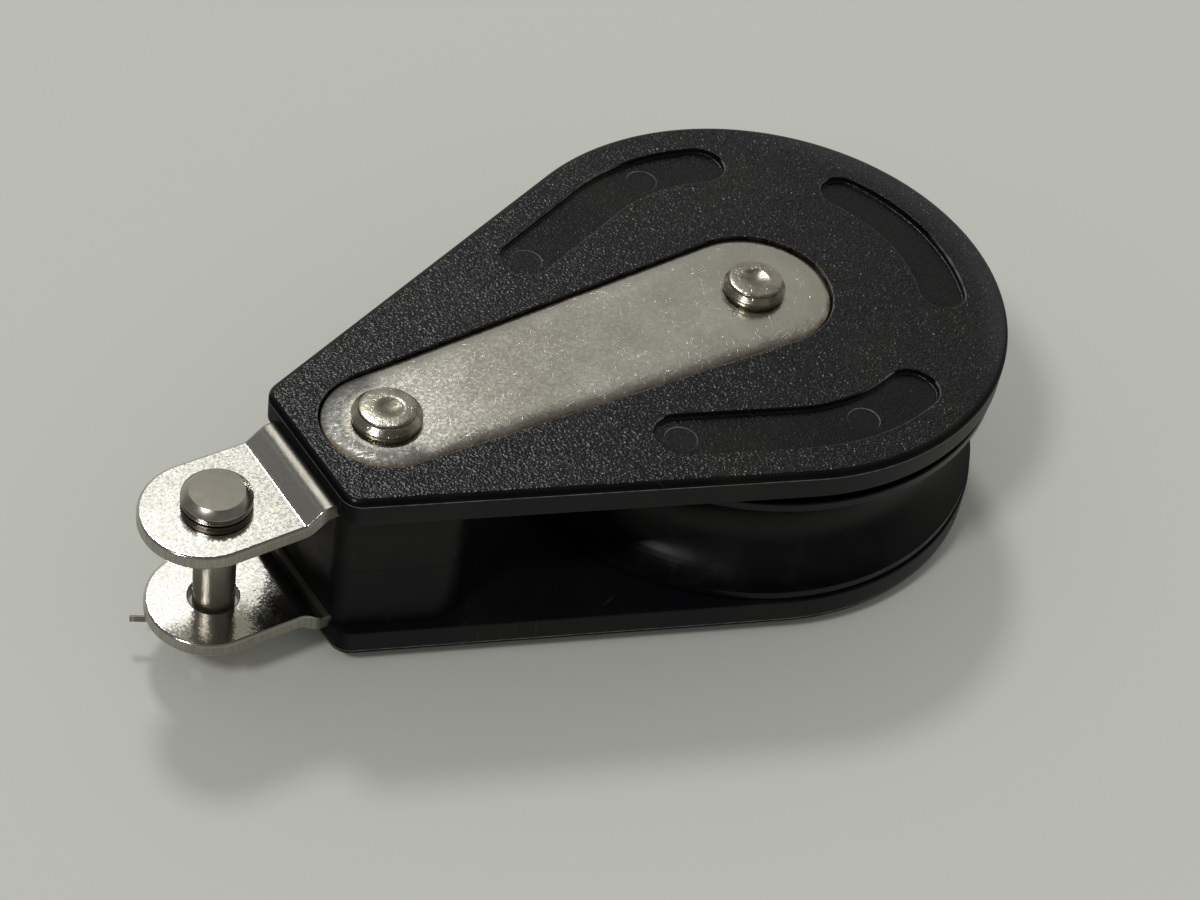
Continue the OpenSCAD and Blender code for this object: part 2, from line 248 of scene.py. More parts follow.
def plug(node, inputs):
    # Sets each input to a value, or links it to a socket or to a node's first output
    for key, value in inputs.items():
        if isinstance(value, bpy.types.Node):
            value = value.outputs[0]
        if isinstance(value, bpy.types.NodeSocket):
            node.id_data.links.new(value, node.inputs[key])
        else:
            node.inputs[key].default_value = value


def addNode(tree, kind, inputs=None, **settings):
    node = tree.nodes.new("ShaderNode" + kind)
    for key, value in settings.items():
        setattr(node, key, value)
    plug(node, inputs or {})
    return node


def newMaterial(name, inputs):
    # The material, a way to add nodes to it, and its shader
    material = bpy.data.materials.new(name)
    material.use_nodes = True
    shader = material.node_tree.nodes["Principled BSDF"]
    plug(shader, inputs)
    return material, partial(addNode, material.node_tree), shader


# Settings that many nodes share
times, plus, minus = {"operation": "MULTIPLY"}, {"operation": "ADD"}, {"operation": "SUBTRACT"}
larger, smaller = {"operation": "MAXIMUM"}, {"operation": "MINIMUM"}
eased = {"interpolation_type": "SMOOTHSTEP"}


def product(add, *values):
    # All values multiplied; of masks, where they all meet
    result = values[0]
    for value in values[1:]:
        result = add("Math", {0: result, 1: value}, **times)
    return result


def band(add, value, rise, full, fade, end):
    # A mask that is whole from full to fade and gone before rise and after end
    return product(add, add("MapRange", {0: value, 1: rise, 2: full}, **eased),
                   add("MapRange", {0: value, 1: fade, 2: end, 3: 1, 4: 0}, **eased))


def layered(add, base, *layers):
    # Colours laid over each other, each through its own mask
    for mask, hexCode in layers:
        base = add("Mix", {0: mask, 6: base, 7: linear(hexCode)}, data_type="RGBA").outputs[2]
    return base


def roughened(add, rough, *layers):
    # Roughness with what each mask adds to it
    for mask, more in layers:
        rough = add("Math", {0: rough, 1: product(add, mask, more)}, **plus)
    return rough


def distance(add, x, y):
    squares = [add("Math", {0: side, 1: 2}, operation="POWER") for side in (x, y)]
    return add("Math", {0: add("Math", {0: squares[0], 1: squares[1]}, **plus), 1: 0}, operation="SQRT")


def blotches(add, place, size, low, high, start=0, end=1, detail=2, roughness=0.5):
    # Soft patches of about this size, from start to end as the noise goes from low to high
    noise = add("TexNoise", {"Vector": place, "Scale": 1 / size, "Detail": detail, "Roughness": roughness})
    return add("MapRange", {0: noise, 1: low, 2: high, 3: start, 4: end}, **eased)


def scratches(add, place, angle, length, width, threshold):
    # Fine lines along one direction: noise with blotches of 1 mm, drawn out along it
    drawn = add("Mapping", {"Vector": place, "Rotation": (0, 0, math.radians(angle)),
                            "Scale": (length, width, length)}, vector_type="TEXTURE")
    return blotches(add, drawn, 1 * mm, threshold, threshold + 0.04, detail=1)


def facets(add, place, size, tilt):
    # Tiny flats that each lean their own way, for a glittering grain
    cells = add("TexVoronoi", {"Vector": place, "Scale": 1 / size})
    lean = add("VectorMath", {0: cells.outputs["Color"], 1: (0.5, 0.5, 0.5)}, **minus)
    lean = add("VectorMath", {0: lean, "Scale": tilt}, operation="SCALE")
    leant = add("VectorMath", {0: add("NewGeometry").outputs["Normal"], 1: lean}, **plus)
    return add("VectorMath", {0: leant}, operation="NORMALIZE")


# Sizes that the shapes share with the patterns
strap = {"pitch": 54.5 * mm, "axleR": 10.2 * mm, "headR": 8 * mm}
sideAngle = 90 + 21.2  # degrees from +X to the square on the cheek's side
sideOut = (math.cos(math.radians(sideAngle)), math.sin(math.radians(sideAngle)))
pinX = -77.1 * mm


def strapEdge(add, x, y):
    # How far a place lies outside the side plate's outline
    along = add("MapRange", {0: x, 1: 0, 2: -strap["pitch"]})
    offX = add("Math", {0: x, 1: product(add, along, -strap["pitch"])}, **minus)
    edgeR = add("MapRange", {0: along, 3: strap["axleR"], 4: strap["headR"]})
    return add("Math", {0: distance(add, offX, y), 1: edgeR}, **minus)


def cheekEdge(add, x, y):
    # How far a place lies inside the cheek's outline
    across = add("Math", {0: y, 1: 0}, operation="ABSOLUTE")
    toward = add("Math", {0: product(add, x, sideOut[0]), 1: product(add, across, sideOut[1])}, **plus)
    past = add("Math", {0: product(add, x, sideOut[1]), 1: product(add, across, sideOut[0])}, **minus)
    away = distance(add, toward, add("Math", {0: past, 1: 0}, **larger))
    low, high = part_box("upper_cheek")
    fromSide = add("Math", {0: high.x, 1: away}, **minus)
    return add("Math", {0: fromSide, 1: add("Math", {0: x, 1: low.x}, **minus)}, **smaller)


def blackNylon():
    # Glass-filled nylon, moulded in a spark-eroded tool: the outer face glitters, the walls are satin
    material, add, shader = newMaterial("glassFilledNylonMoulded", {"IOR": 1.53})
    place = add("TexCoord").outputs["Object"]
    x, y, z = add("SeparateXYZ", {0: place}).outputs
    height = add("Math", {0: z, 1: 0}, operation="ABSOLUTE")
    inward = cheekEdge(add, x, y)
    grained = product(add, add("MapRange", {0: height, 1: 12.3 * mm, 2: 13.3 * mm}, **eased),
                      add("MapRange", {0: inward, 1: 0.3 * mm, 2: 0.9 * mm}, **eased))
    # The real grain is finer still and would not show
    grain = 0.34 * mm
    pebbles = add("TexVoronoi", {"Vector": place, "Scale": 1 / grain}).outputs["Distance"]
    fine = add("TexNoise", {"Vector": place, "Scale": 1 / grain, "Detail": 1})
    fine = product(add, add("Math", {0: fine, 1: product(add, pebbles, 0.8)}, **plus), grained)
    satin = product(add, add("TexNoise", {"Vector": place, "Scale": 1 / (0.4 * mm)}), 0.4)
    # A parting line runs round the head block, the only piece at middle height
    parting = add("MapRange", {0: height, 1: 0.04 * mm, 2: 0.12 * mm, 3: 1.2, 4: 0}, **eased)
    relief = add("Math", {0: add("Math", {0: fine, 1: satin}, **plus), 1: parting}, **plus)
    bump = add("Bump", {"Height": relief, "Distance": 0.048 * mm, "Strength": 1,
                        "Normal": facets(add, place, 0.25 * mm, product(add, grained, 0.17))})
    # Handling has rubbed and dusted it in soft patches
    patches = blotches(add, place, 14 * mm, 0.42, 0.72, detail=4, roughness=0.6)
    scuffs = add("Math", {0: scratches(add, place, 20, 7, 0.13, 0.74),
                          1: scratches(add, place, -48, 5, 0.12, 0.76)}, **larger)
    scuffs = product(add, scuffs, blotches(add, place, 11 * mm, 0.48, 0.62, detail=1), 0.2)
    # The wide end is a little greyer along its rim
    paleRim = product(add, add("MapRange", {0: inward, 1: 1 * mm, 2: 5 * mm, 3: 0.65, 4: 0}, **eased),
                   add("MapRange", {0: x, 1: 12 * mm, 2: 28 * mm}, **eased), grained)
    # Painted highlight: the pocket edges that face right or back and the walls of the ejector marks are
    # painted paler, broken up in patches
    facingX, facingY, facingZ = add("SeparateXYZ", {0: add("NewGeometry").outputs["Normal"]}).outputs
    facing = add("Math", {0: facingX, 1: facingY}, **larger)
    edges = product(add, band(add, height, 13.2 * mm, 13.4 * mm, 13.63 * mm, 13.648 * mm),
                    add("MapRange", {0: inward, 1: 1 * mm, 2: 1.5 * mm}, **eased),
                    add("MapRange", {0: facing, 1: 0.01, 2: 0.18}, **eased))
    marks = band(add, height, 12.71 * mm, 12.74 * mm, 12.82 * mm, 12.85 * mm)
    lineBreakup = blotches(add, place, 1.4 * mm, 0.35, 0.65, 0.35, 0.8, detail=3, roughness=0.6)
    paleMarks = product(add, add("Math", {0: edges, 1: marks}, **larger), lineBreakup)
    # Dried salt and rust-tinted dirt sits in the seam along the plate's lower side
    seam = add("MapRange", {0: strapEdge(add, x, y), 1: 0.25 * mm, 2: 0.6 * mm, 3: 1, 4: 0}, **eased)
    crumbs = blotches(add, place, 1.6 * mm, 0.4, 0.62, detail=4, roughness=0.7)
    lowSide = add("MapRange", {0: y, 1: -4 * mm, 2: 4 * mm, 3: 0.6, 4: 0.1}, **eased)
    dirt = product(add, product(add, seam, crumbs), product(add, grained, lowSide))
    # Among these layers, the pale one on the pocket and ejector edges is a painted highlight
    base = layered(add, linear("#090a0d"), (patches, "#131210"), (paleRim, "#2e2f31"), (scuffs, "#6d6c69"),
                   (paleMarks, "#83827e"), (dirt, "#7d6a50"))
    # The rounded edge is moulded smooth, and made to mirror next to nothing as a painted dark line along it
    brink = product(add, add("MapRange", {0: inward, 1: 0.1 * mm, 2: 0.75 * mm, 3: 1, 4: 0}, **eased),
                    add("MapRange", {0: height, 1: 12.75 * mm, 2: 12.95 * mm}, **eased))
    # The pocket floors are smoother and darker than the faces
    sunk = product(add, add("MapRange", {0: inward, 1: 1 * mm, 2: 1.4 * mm}, **eased),
                   add("MapRange", {0: height, 1: 12.95 * mm, 2: 13.2 * mm, 3: 1, 4: 0}, **eased))
    # Faces turned towards -X mirror a quarter as much: painted shade, mostly on the head block's front
    shine = product(add, add("MapRange", {0: grained, 1: 0, 2: 0.6, 3: 0.2, 4: 0.24}, **eased),
                    add("MapRange", {0: facingX, 1: -0.9, 2: -0.4, 3: 0.25, 4: 1}, **eased),
                    add("MapRange", {0: sunk, 3: 1, 4: 0.82}, **eased),
                    add("MapRange", {0: brink, 3: 1, 4: 0.2}, **eased))
    rough = add("MapRange", {0: grained, 1: 0, 2: 0.6, 3: 0.45, 4: 0.25}, **eased)
    plug(shader, {"Base Color": base, "Roughness": rough, "Specular IOR Level": shine, "Normal": bump})
    return material


def satinStainless():
    # Rolled stainless strap, tumbled satin and scratched every way by use
    material, add, shader = newMaterial("stainlessStrapSatin", {"Metallic": 1})
    place = add("TexCoord").outputs["Object"]
    x, y, z = add("SeparateXYZ", {0: place}).outputs
    clouds = add("TexNoise", {"Vector": place, "Scale": 1 / (9 * mm), "Detail": 3})
    lines = scratches(add, place, 12, 5, 0.09, 0.73)
    for more in ((-38, 4, 0.08, 0.73), (65, 2.5, 0.08, 0.74)):
        lines = add("Math", {0: lines, 1: scratches(add, place, *more)}, **larger)
    lines = product(add, lines, blotches(add, place, 6 * mm, 0.35, 0.6, 0.25, 1))
    pits = blotches(add, place, 0.6 * mm, 0.66, 0.74)
    # Brown stain on the rolled edge, mostly on the lower side
    rim = strapEdge(add, x, y)
    browning = product(add, add("MapRange", {0: rim, 1: -0.9 * mm, 2: -0.25 * mm}, **eased),
                    blotches(add, place, 1.8 * mm, 0.35, 0.6, 0.35, 0.9, detail=4, roughness=0.65),
                    add("MapRange", {0: y, 1: -3 * mm, 2: 5 * mm, 3: 1, 4: 0.15}, **eased))
    # Its head end is scrubbed dull towards the rim, with brighter scratches, and painted dark grey there: a
    # painted dark reflection that also takes out the highlight of its rolled edge
    glints = add("Math", {0: scratches(add, place, -20, 1.6, 0.1, 0.66),
                          1: scratches(add, place, 50, 1.2, 0.1, 0.68)}, **larger)
    dullAndShade = product(add, add("MapRange", {0: rim, 1: -3.9 * mm, 2: -2.2 * mm}, **eased),
                   add("MapRange", {0: x, 1: -54 * mm, 2: -50 * mm, 3: 1, 4: 0}, **eased),
                   blotches(add, place, 0.7 * mm, 0.3, 0.55, 0.8, 1, detail=3, roughness=0.6),
                   add("MapRange", {0: glints, 3: 0.88, 4: 0.35}, **eased))
    tint = layered(add, linear("#bcb8ab"), (add("MapRange", {0: clouds, 1: 0.3, 2: 0.7}, **eased), "#c9c6bb"),
                   (product(add, pits, 0.35), "#8d8776"), (product(add, lines, 0.4), "#efede6"),
                   (dullAndShade, "#484a49"), (browning, "#6b5a42"))
    rough = roughened(add, add("MapRange", {0: clouds, 1: 0.3, 2: 0.7, 3: 0.2, 4: 0.23}, **eased),
                      (lines, 0.1), (dullAndShade, 0.24), (browning, 0.15))
    worked = product(add, add("TexNoise", {"Vector": place, "Scale": 1 / (0.4 * mm), "Detail": 3}), 0.3)
    bump = add("Bump", {"Height": add("Math", {0: worked, 1: lines}, **minus), "Distance": 0.005 * mm,
                        "Strength": 1, "Normal": facets(add, place, 0.28 * mm, 0.06)})
    plug(shader, {"Base Color": tint, "Roughness": rough, "Normal": bump})
    return material


def tumbledStainless():
    # Punched and barrel-tumbled strip: bright faces with an orange-peel of tiny dents, duller sheared edges
    material, add, shader = newMaterial("stainlessStripTumbled", {"Metallic": 1})
    place = add("TexCoord").outputs["Object"]
    x = add("SeparateXYZ", {0: place}).outputs[0]
    square = add("SeparateXYZ", {0: add("NewGeometry").outputs["Normal"]}).outputs
    facing = add("Math", {0: square[2], 1: 0}, operation="ABSOLUTE")
    sheared = add("MapRange", {0: facing, 1: 0.25, 2: 0.6, 3: 1, 4: 0}, **eased)
    clouds = add("TexNoise", {"Vector": place, "Scale": 1 / (3.5 * mm), "Detail": 3})
    # Upright streaks where the punch tore the strip
    streaks = add("Mapping", {"Vector": place, "Scale": (1, 1, 0.08)})
    torn = layered(add, linear("#98948a"), (blotches(add, streaks, 0.22 * mm, 0.35, 0.65), "#a8a498"))
    tint = layered(add, linear("#d2cfc7"), (clouds, "#dcdad4"))
    tint = add("Mix", {0: sheared, 6: tint, 7: torn}, data_type="RGBA").outputs[2]
    # Darker and rougher next to the cheeks, where the strip bends up into its root: partly grime, partly
    # painted shade between the parts that also damps the bend's highlight
    darkening = add("MapRange", {0: x, 1: -67.6 * mm, 2: -66.4 * mm}, **eased)
    tint = layered(add, tint, (product(add, darkening, 0.8), "#6c6757"))
    rough = roughened(add, add("MapRange", {0: clouds, 1: 0.3, 2: 0.7, 3: 0.11, 4: 0.14}, **eased),
                      (sheared, 0.2), (darkening, 0.3))
    peel = add("TexNoise", {"Vector": place, "Scale": 1 / (0.55 * mm), "Detail": 3, "Roughness": 0.55})
    bump = add("Bump", {"Height": peel, "Distance": 0.004 * mm, "Strength": 0.8,
                        "Normal": facets(add, place, 0.2 * mm, 0.05)})
    plug(shader, {"Base Color": tint, "Roughness": rough, "Normal": bump})
    return material


def formedStainless():
    # Rivet heads set by a spinning tool: burnished, with small blows and a grey tarnish
    material, add, shader = newMaterial("stainlessRivetFormed", {"Metallic": 1})
    place = add("TexCoord").outputs["Object"]
    tarnish = blotches(add, place, 2.2 * mm, 0.4, 0.65, detail=4, roughness=0.65)
    # Each head is darker and rougher in and round its dimple
    reach = []
    for centred in (place, add("Mapping", {"Vector": place, "Location": (strap["pitch"], 0, 0)})):
        level = add("VectorMath", {0: centred, 1: (1, 1, 0)}, **times)
        reach.append(add("VectorMath", {0: level}, operation="LENGTH").outputs["Value"])
    nearest = add("Math", {0: reach[0], 1: reach[1]}, **smaller)
    darkening = add("MapRange", {0: nearest, 1: 0.9 * mm, 2: 2.1 * mm, 3: 0.5, 4: 0}, **eased)
    tint = layered(add, linear("#b9b4a5"), (tarnish, "#837d70"), (darkening, "#4a463d"))
    rough = roughened(add, add("MapRange", {0: tarnish, 3: 0.18, 4: 0.3}, **eased), (darkening, 0.28))
    blows = add("TexNoise", {"Vector": place, "Scale": 1 / (1.1 * mm), "Detail": 3, "Roughness": 0.6})
    pits = product(add, blotches(add, place, 0.45 * mm, 0.6, 0.72), 0.35)
    relief = add("Math", {0: blows, 1: pits}, **minus)
    bump = add("Bump", {"Height": relief, "Distance": 0.06 * mm, "Strength": 0.8})
    plug(shader, {"Base Color": tint, "Roughness": rough, "Normal": bump})
    return material


def turnedStainless():
    # Lathe-turned pin: fine rings round its axis
    material, add, shader = newMaterial("stainlessPinTurned", {"Metallic": 1})
    place = add("TexCoord").outputs["Object"]
    centred = add("Mapping", {"Vector": place, "Location": (-pinX, 0, 0)})
    x, y, z = add("SeparateXYZ", {0: centred}).outputs
    feed = add("Math", {0: distance(add, x, y), 1: z}, **plus)
    rings = add("Math", {0: product(add, feed, math.tau / (0.22 * mm)), 1: 0}, operation="SINE")
    clouds = add("TexNoise", {"Vector": place, "Scale": 1 / (1.5 * mm), "Detail": 4, "Roughness": 0.6})
    # Under the head the pin is painted brown, strongest on the head's lower band and weaker down the dull
    # shank: partly tarnish, partly painted shade under the head. The top is the smoothest, and painted darker
    # as a painted dark reflection
    under = add("Math", {0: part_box("clevis_pin")[1].z, 1: z}, **minus)
    shank = add("MapRange", {0: under, 1: 1.6 * mm, 2: 1.75 * mm}, **eased)
    browning = product(add, shank,
                    add("MapRange", {0: under, 1: 2.5 * mm, 2: 3.6 * mm, 3: 0.85, 4: 0.5}, **eased))
    square = add("SeparateXYZ", {0: add("NewGeometry").outputs["Normal"]}).outputs
    flatTop = add("MapRange", {0: square[2], 1: 0.9, 2: 0.98}, **eased)
    tint = layered(add, linear("#a9a598"), (clouds, "#c9c6bd"), (product(add, flatTop, 0.8), "#67655c"),
                   (browning, "#453b2d"))
    rough = roughened(add, add("MapRange", {0: clouds, 1: 0.3, 2: 0.7, 3: 0.22, 4: 0.27}, **eased),
                      (shank, 0.16), (flatTop, -0.13))
    relief = add("Math", {0: product(add, rings, 0.3), 1: clouds}, **plus)
    bump = add("Bump", {"Height": relief, "Distance": 0.004 * mm, "Strength": 0.7})
    plug(shader, {"Base Color": tint, "Roughness": rough, "Normal": bump})
    return material


def drawnWire():
    # Split pin wire: drawn, dull, with fine lines along it
    material, add, shader = newMaterial("stainlessWireDrawn", {"Metallic": 1})
    place = add("TexCoord").outputs["Object"]
    lines = scratches(add, place, 160, 4, 0.08, 0.55)
    plug(shader, {
        "Base Color": layered(add, linear("#7f7a6d"), (lines, "#a8a396")),
        "Roughness": blotches(add, place, 0.8 * mm, 0.3, 0.7, 0.28, 0.4, detail=3),
        "Normal": add("Bump", {"Height": lines, "Distance": 0.004 * mm, "Strength": 0.8}),
    })
    return material


def blackAcetal():
    # Acetal sheave, turned: dark satin with rings from the tool and pale rubs from rope
    material, add, shader = newMaterial("acetalTurned", {"IOR": 1.48, "Specular IOR Level": 0.25})
    place = add("TexCoord").outputs["Object"]
    x, y, z = add("SeparateXYZ", {0: place}).outputs
    feed = add("Math", {0: distance(add, x, y), 1: product(add, z, 0.7)}, **plus)
    rings = add("Math", {0: product(add, feed, math.tau / (0.35 * mm)), 1: 0}, operation="SINE")
    paleMarks = blotches(add, place, 5 * mm, 0.45, 0.75, detail=4, roughness=0.6)
    plug(shader, {
        "Base Color": layered(add, linear("#050506"), (paleMarks, "#0c0c0c")),
        "Roughness": add("MapRange", {0: paleMarks, 3: 0.3, 4: 0.42}, **eased),
        "Normal": add("Bump", {"Height": rings, "Distance": 0.003 * mm, "Strength": 0.6}),
    })
    return material


def sinteredBronze():
    # Porous sintered bronze, seen only at the bush's ends
    material, add, shader = newMaterial("bronzeSintered", {"Metallic": 1, "Roughness": 0.42})
    place = add("TexCoord").outputs["Object"]
    pores = add("TexNoise", {"Vector": place, "Scale": 1 / (0.3 * mm), "Detail": 3})
    plug(shader, {
        "Base Color": layered(add, linear("#7d5f37"), (pores, "#a8834f")),
        "Normal": add("Bump", {"Height": pores, "Distance": 0.02 * mm, "Strength": 0.6}),
    })
    return material


def naturalNylon():
    # Thrust washers stamped from nylon sheet, yellowed
    material, add, shader = newMaterial("nylonSheetStamped", {"Roughness": 0.45, "IOR": 1.53})
    place = add("TexCoord").outputs["Object"]
    clouds = add("TexNoise", {"Vector": place, "Scale": 1 / (2.5 * mm), "Detail": 3})
    plug(shader, {
        "Base Color": layered(add, linear("#a79e8a"), (clouds, "#c2baa6")),
        "Normal": add("Bump", {"Height": clouds, "Distance": 0.01 * mm, "Strength": 0.5}),
    })
    return material


nylon = blackNylon()
strapSteel = satinStainless()
stripSteel = tumbledStainless()
rivetSteel = formedStainless()
pinSteel = turnedStainless()
wireSteel = drawnWire()
acetal = blackAcetal()
bronze = sinteredBronze()
washerNylon = naturalNylon()
print("materials made")


# Cheeks
cheekLow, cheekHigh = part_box("upper_cheek")
cheek = {
    "innerZ": cheekLow.z,
    "outerZ": cheekHigh.z,
    "radius": cheekHigh.x,
    "narrowX": cheekLow.x,
    "cornerR": 2.8 * mm,
    "edgeR": 0.8 * mm,
    "underEdge": 0.25 * mm,
    "pocketDepth": 0.8 * mm,
    "pocketR": 25.3 * mm,
    "sidePocketW": 7 * mm,
    "sidePocketStart": 72,  # degrees round the axle
    "sidePocketStraight": 15.4 * mm,
    "tipPocketW": 6.2 * mm,
    "tipPocketHalf": 26,  # degrees to each side
    "pocketEdge": 0.35 * mm,
    "plateGap": 0.25 * mm,
    "plateDepth": 1.65 * mm,
    "rootDepth": 1.1 * mm,
    "rivetHoleR": 3.05 * mm,
    "ejectorR": 2 * mm,
    "ejectorAngle": 91.6,
    "ejectorDepth": 0.14 * mm,
    "ejectorWall": 0.12 * mm,
    "recessEdge": 0.12 * mm,
}
root = {"halfWidth": 8.1 * mm, "endX": -49.7 * mm, "cornerR": 1.6 * mm}


def sideY(x, inset):
    # Height of a line along the cheek's side, moved inwards
    return (cheek["radius"] - inset - sideOut[0] * x) / sideOut[1]


def pearOutline():
    r = cheek["cornerR"]
    corner = (cheek["narrowX"] + r, sideY(cheek["narrowX"] + r, r))
    return bothSides(arcPoints((0, 0), cheek["radius"], 0, sideAngle, 90)[1:]
                     + arcPoints(corner, r, sideAngle, 180, 10))


def strapOutline(grow=0.0):
    axleR, headR = strap["axleR"] + grow, strap["headR"] + grow
    lean = math.degrees(math.asin((axleR - headR) / strap["pitch"]))
    return bothSides(arcPoints((0, 0), axleR, 0, 90 + lean, 40)[1:]
                     + arcPoints((-strap["pitch"], 0), headR, 90 + lean, 180, 32)[:-1])


def pocketOutline(width, start, end, straight):
    half, r = width / 2, cheek["pocketR"]
    a, b = math.radians(start), math.radians(end)
    first = (r * math.cos(a), r * math.sin(a))
    last = (r * math.cos(b) - straight * math.sin(b), r * math.sin(b) + straight * math.cos(b))
    outer = arcPoints((0, 0), r + half, start, end, 24)
    inner = arcPoints((0, 0), r - half, end, start, 24)
    lastEnd = arcPoints(last, half, end, end + 180, 16)
    firstEnd = arcPoints(first, half, start + 180, start + 360, 16)
    return outer + (lastEnd if straight else lastEnd[1:-1]) + inner + firstEnd[1:-1]


def rootOutline():
    half, end, r = root["halfWidth"], root["endX"], root["cornerR"]
    return bothSides([(cheek["narrowX"] - 2 * mm, half)] + arcPoints((end - r, half - r), r, 90, 0, 6))


def makeCheek():
    top, low = cheek["outerZ"], cheek["innerZ"]
    piece = slab("upperCheek", flat(pearOutline(), low), top - low)
    roundEdges(piece, cheek["edgeR"], 5, lambda spot: spot.z > top - touch)
    roundEdges(piece, cheek["underEdge"], 2, lambda spot: spot.z < low + touch)
    # Three pockets
    floor, straight = top - cheek["pocketDepth"], cheek["sidePocketStraight"]
    sidePocket = pocketOutline(cheek["sidePocketW"], cheek["sidePocketStart"], sideAngle, straight)
    farPocket = [(x, -y) for x, y in reversed(sidePocket)]
    tipPocket = pocketOutline(cheek["tipPocketW"], -cheek["tipPocketHalf"], cheek["tipPocketHalf"], 0)
    for outline in (sidePocket, farPocket, tipPocket):
        tool = slab("pocketTool", flat(outline, floor), 3 * mm)
        roundEdges(tool, cheek["pocketEdge"], 3, lambda spot: spot.z < floor + touch)
        cut(piece, tool)
    # Ejector marks, two in each side pocket
    r = cheek["pocketR"]
    bend = arcPoints((0, 0), r, cheek["ejectorAngle"], cheek["ejectorAngle"], 1)[0]
    pocketEnd = (r * sideOut[0] - straight * sideOut[1], r * sideOut[1] + straight * sideOut[0])
    r, depth = cheek["ejectorR"], floor - cheek["ejectorDepth"]
    profile = [(0, depth), (r, depth), (r + cheek["ejectorWall"], floor), (r + 0.2 * mm, top), (0, top)]
    for x, y in (bend, pocketEnd, (bend[0], -bend[1]), (pocketEnd[0], -pocketEnd[1])):
        cut(piece, turned("ejectorTool", profile, (x, y), 48))
    inside = cheek["radius"] - cheek["edgeR"] - 1.5 * mm
    roundEdges(piece, cheek["pocketEdge"], 3, lambda spot: spot.z > top - touch and spot.xy.length < inside)
    # Recess of the side plate, then the fork's root and the rivets
    cut(piece, slab("recessTool", flat(strapOutline(cheek["plateGap"]), top - cheek["plateDepth"]), 4 * mm))
    across = strap["axleR"] + 0.8 * mm
    roundEdges(piece, cheek["recessEdge"], 2,
               lambda spot: spot.z > top - touch and abs(spot.y) < across and spot.x < across)
    cut(piece, slab("rootTool", flat(rootOutline(), low - 1 * mm), 1 * mm + cheek["rootDepth"]))
    for x in (0, -strap["pitch"]):
        drill(piece, cheek["rivetHoleR"], low - 1 * mm, top + 1 * mm, x)
    return piece


upperCheek = makeCheek()
lowerCheek = mirrored(upperCheek, "lowerCheek")
for piece, node in ((upperCheek, "upper_cheek"), (lowerCheek, "lower_cheek")):
    smooth(piece)
    finishPiece(piece, node, nylon)
print("cheeks made")


# Side plates
plateLow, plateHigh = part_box("upper_side_plate")
plate = {
    "lowZ": plateLow.z,
    "topZ": plateHigh.z,
    "edge": 0.2 * mm,
    "crown": 0.3 * mm,
    # Width of each step of the rolled edge, and its share of the crown
    "rolls": ((0.5 * mm, 0.47), (0.7 * mm, 0.32), (0.8 * mm, 0.15), (1 * mm, 0.06)),
}


def makePlate():
    top = plate["topZ"] - plate["crown"]
    piece = slab("upperPlate", flat(strapOutline(), plate["lowZ"]), top - plate["lowZ"])
    roundEdges(piece, plate["edge"], 3, lambda spot: spot.z > top - touch)
    # The punched edge is rolled down: each inset lifts what is left of the top
    for width, lift in plate["rolls"]:
        focus(piece, "EDIT")
        bpy.ops.mesh.select_mode(type="FACE")
        bpy.ops.mesh.select_all(action="DESELECT")
        bpy.ops.object.mode_set(mode="OBJECT")
        highest = max(face.center.z for face in piece.data.polygons)
        upper = [face for face in piece.data.polygons if face.center.z > highest - touch]
        max(upper, key=lambda face: face.area).select = True
        bpy.ops.object.mode_set(mode="EDIT")
        bpy.ops.mesh.inset(thickness=width, depth=lift * plate["crown"])
        bpy.ops.object.mode_set(mode="OBJECT")
    for x in (0, -strap["pitch"]):
        drill(piece, cheek["rivetHoleR"], plate["lowZ"] - 1 * mm, plate["topZ"] + 1 * mm, x)
    return piece


upperPlate = makePlate()
lowerPlate = mirrored(upperPlate, "lowerPlate")
for piece, node in ((upperPlate, "upper_side_plate"), (lowerPlate, "lower_side_plate")):
    smooth(piece)
    finishPiece(piece, node, strapSteel)
print("side plates made")


# Fork arms
armLow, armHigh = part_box("upper_fork_arm")
arm = {
    "endX": armHigh.x,
    "cornerR": 1.5 * mm,
    "halfWidth": armHigh.y,
    "thickness": 2 * mm,
    "earZ": armLow.z,
    "rootZ": armHigh.z,
    "slope": 38,  # degrees
    "bendR": 0.8 * mm,
    "flatRoot": 0.5 * mm,  # stands out of the cheeks
    "edge": 0.42 * mm,
    "pinHoleR": 3.1 * mm,
    "holeEdge": 0.2 * mm,
    "spare": 1 * mm,  # of the strip past its plan, so that no two sides fall together
    "under": 5 * mm,  # heights that clear the arm
    "over": 12 * mm,
}


def armProfile(tipX):
    slope, inner, outer = arm["slope"], arm["bendR"], arm["bendR"] + arm["thickness"]
    earTop = arm["earZ"] + arm["thickness"]
    lean = math.radians(slope)
    rampRise = arm["rootZ"] - earTop - (inner + outer) * (1 - math.cos(lean))
    run = (inner + outer) * math.sin(lean) + rampRise / math.tan(lean)
    rootX = cheek["narrowX"] - arm["flatRoot"]
    first = (rootX - run, earTop + inner)
    second = (rootX, arm["rootZ"] - outer)
    above = ([(tipX, earTop)] + arcPoints(first, inner, -90, slope - 90, 6)
             + arcPoints(second, outer, 90 + slope, 90, 8))
    below = arcPoints(second, inner, 90, 90 + slope, 6) + arcPoints(first, outer, slope - 90, -90, 8)
    ends = [(arm["endX"], arm["rootZ"]), (arm["endX"], arm["rootZ"] - arm["thickness"])]
    return above + ends + below + [(tipX, arm["earZ"])]


